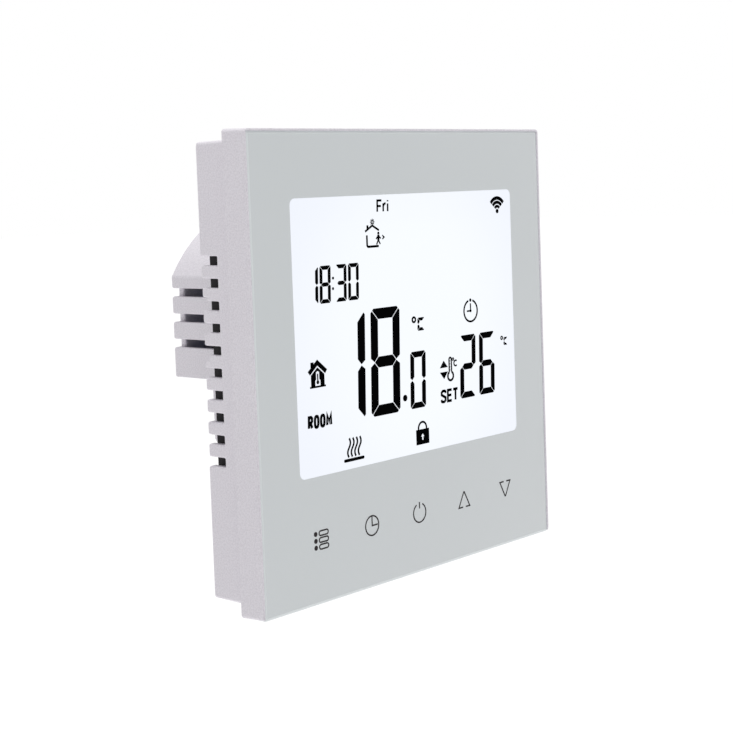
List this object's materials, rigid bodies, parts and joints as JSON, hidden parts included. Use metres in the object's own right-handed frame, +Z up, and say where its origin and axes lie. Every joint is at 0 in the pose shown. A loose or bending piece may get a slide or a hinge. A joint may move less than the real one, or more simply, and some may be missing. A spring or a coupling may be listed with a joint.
{
  "type": "wall thermostat",
  "caption": "Flush wall thermostat: square glass touch panel on a shallow vented skirt, with a deep arched box behind for a round wall box.",
  "frame": {"origin": "centre of the wall plate's rear face, on the wall's surface", "axes": "+X to the right seen from the room, +Y into the wall, +Z up"},
  "size_m": [0.086, 0.0405, 0.086],
  "materials": {
    "white_abs": "fine matt moulded texture",
    "printed_glass": "polished, back printed light grey",
    "display_glass": "polished",
    "acrylic": "frosted",
    "white_holder": "matt",
    "contact_rubber": "striped silicone",
    "circuit_board": "solder mask",
    "shield_can": "tinned",
    "black_epoxy": "moulded",
    "terminal_green": "moulded",
    "relay_blue": "moulded",
    "coil_tape": "polyester tape",
    "film_yellow": "moulded box",
    "can_sleeve": "shrunk sleeve",
    "varistor_blue": "dipped epoxy",
    "fuse_brown": "moulded",
    "dark_abs": "fine matt moulded texture",
    "spring_steel": "bright drawn wire",
    "zinc_screw": "zinc plated",
    "brass": "stamped"
  },
  "bodies": {
    "wall": {"wall_plate": "dark_abs"},
    "housing": {"rear_housing": "white_abs", "power_board": "circuit_board", "pin_header": "brass", "relay": "relay_blue", "transformer": "coil_tape", "film_capacitor": "film_yellow", "electrolytic_capacitor": "can_sleeve", "varistor": "varistor_blue", "fuse": "fuse_brown", "power_board_screw_1": "zinc_screw", "power_board_screw_2": "zinc_screw", "terminal_block": "terminal_green", "contact_bar_1": "brass", "contact_bar_2": "brass", "contact_bar_3": "brass", "contact_bar_4": "brass", "contact_bar_5": "brass", "contact_bar_6": "brass", "contact_bar_7": "brass", "contact_bar_8": "brass"},
    "panel": {"front_frame": "white_abs", "glass_panel": "printed_glass", "lcd_cell": "display_glass", "light_guide": "acrylic", "lcd_holder": "white_holder", "contact_strip": "contact_rubber", "touch_spring_1": "spring_steel", "touch_spring_2": "spring_steel", "touch_spring_3": "spring_steel", "touch_spring_4": "spring_steel", "touch_spring_5": "spring_steel", "front_board": "circuit_board", "wifi_module": "shield_can", "controller_chip": "black_epoxy", "buzzer": "black_epoxy", "pin_socket": "black_epoxy", "room_sensor": "black_epoxy", "front_board_screw_1": "zinc_screw", "front_board_screw_2": "zinc_screw", "front_board_screw_3": "zinc_screw", "front_board_screw_4": "zinc_screw"},
    "terminal_screw_1": {"terminal_screw_1": "zinc_screw"},
    "wire_clamp_1": {"wire_clamp_1": "brass"},
    "terminal_screw_2": {"terminal_screw_2": "zinc_screw"},
    "wire_clamp_2": {"wire_clamp_2": "brass"},
    "terminal_screw_3": {"terminal_screw_3": "zinc_screw"},
    "wire_clamp_3": {"wire_clamp_3": "brass"},
    "terminal_screw_4": {"terminal_screw_4": "zinc_screw"},
    "wire_clamp_4": {"wire_clamp_4": "brass"},
    "terminal_screw_5": {"terminal_screw_5": "zinc_screw"},
    "wire_clamp_5": {"wire_clamp_5": "brass"},
    "terminal_screw_6": {"terminal_screw_6": "zinc_screw"},
    "wire_clamp_6": {"wire_clamp_6": "brass"},
    "terminal_screw_7": {"terminal_screw_7": "zinc_screw"},
    "wire_clamp_7": {"wire_clamp_7": "brass"},
    "terminal_screw_8": {"terminal_screw_8": "zinc_screw"},
    "wire_clamp_8": {"wire_clamp_8": "brass"}
  },
  "joints": [
    {"name": "housing_pull", "type": "slide", "parent": "wall", "child": "housing", "axis": [0, -1, 0], "range_m": [0, 0.036]},
    {"name": "panel_pull", "type": "slide", "parent": "housing", "child": "panel", "axis": [0, -1, 0], "range_m": [0, 0.02]},
    {"name": "terminal_screw_1_turn", "type": "hinge", "parent": "housing", "child": "terminal_screw_1", "pos_m": [-0.01778, 0.0119, -0.0105], "axis": [0, -1, 0], "range_deg": [0, 2520]},
    {"name": "wire_clamp_1_lift", "type": "slide", "parent": "housing", "child": "wire_clamp_1", "axis": [0, 1, 0], "range_m": [0, 0.0035]},
    {"name": "terminal_screw_2_turn", "type": "hinge", "parent": "housing", "child": "terminal_screw_2", "pos_m": [-0.0127, 0.0119, -0.0105], "axis": [0, -1, 0], "range_deg": [0, 2520]},
    {"name": "wire_clamp_2_lift", "type": "slide", "parent": "housing", "child": "wire_clamp_2", "axis": [0, 1, 0], "range_m": [0, 0.0035]},
    {"name": "terminal_screw_3_turn", "type": "hinge", "parent": "housing", "child": "terminal_screw_3", "pos_m": [-0.00762, 0.0119, -0.0105], "axis": [0, -1, 0], "range_deg": [0, 2520]},
    {"name": "wire_clamp_3_lift", "type": "slide", "parent": "housing", "child": "wire_clamp_3", "axis": [0, 1, 0], "range_m": [0, 0.0035]},
    {"name": "terminal_screw_4_turn", "type": "hinge", "parent": "housing", "child": "terminal_screw_4", "pos_m": [-0.00254, 0.0119, -0.0105], "axis": [0, -1, 0], "range_deg": [0, 2520]},
    {"name": "wire_clamp_4_lift", "type": "slide", "parent": "housing", "child": "wire_clamp_4", "axis": [0, 1, 0], "range_m": [0, 0.0035]},
    {"name": "terminal_screw_5_turn", "type": "hinge", "parent": "housing", "child": "terminal_screw_5", "pos_m": [0.00254, 0.0119, -0.0105], "axis": [0, -1, 0], "range_deg": [0, 2520]},
    {"name": "wire_clamp_5_lift", "type": "slide", "parent": "housing", "child": "wire_clamp_5", "axis": [0, 1, 0], "range_m": [0, 0.0035]},
    {"name": "terminal_screw_6_turn", "type": "hinge", "parent": "housing", "child": "terminal_screw_6", "pos_m": [0.00762, 0.0119, -0.0105], "axis": [0, -1, 0], "range_deg": [0, 2520]},
    {"name": "wire_clamp_6_lift", "type": "slide", "parent": "housing", "child": "wire_clamp_6", "axis": [0, 1, 0], "range_m": [0, 0.0035]},
    {"name": "terminal_screw_7_turn", "type": "hinge", "parent": "housing", "child": "terminal_screw_7", "pos_m": [0.0127, 0.0119, -0.0105], "axis": [0, -1, 0], "range_deg": [0, 2520]},
    {"name": "wire_clamp_7_lift", "type": "slide", "parent": "housing", "child": "wire_clamp_7", "axis": [0, 1, 0], "range_m": [0, 0.0035]},
    {"name": "terminal_screw_8_turn", "type": "hinge", "parent": "housing", "child": "terminal_screw_8", "pos_m": [0.01778, 0.0119, -0.0105], "axis": [0, -1, 0], "range_deg": [0, 2520]},
    {"name": "wire_clamp_8_lift", "type": "slide", "parent": "housing", "child": "wire_clamp_8", "axis": [0, 1, 0], "range_m": [0, 0.0035]}
  ],
  "couplings": [
    {"joint": "terminal_screw_1_turn", "follows": "wire_clamp_1_lift", "rad_per_m": 12566},
    {"joint": "terminal_screw_2_turn", "follows": "wire_clamp_2_lift", "rad_per_m": 12566},
    {"joint": "terminal_screw_3_turn", "follows": "wire_clamp_3_lift", "rad_per_m": 12566},
    {"joint": "terminal_screw_4_turn", "follows": "wire_clamp_4_lift", "rad_per_m": 12566},
    {"joint": "terminal_screw_5_turn", "follows": "wire_clamp_5_lift", "rad_per_m": 12566},
    {"joint": "terminal_screw_6_turn", "follows": "wire_clamp_6_lift", "rad_per_m": 12566},
    {"joint": "terminal_screw_7_turn", "follows": "wire_clamp_7_lift", "rad_per_m": 12566},
    {"joint": "terminal_screw_8_turn", "follows": "wire_clamp_8_lift", "rad_per_m": 12566}
  ]
}
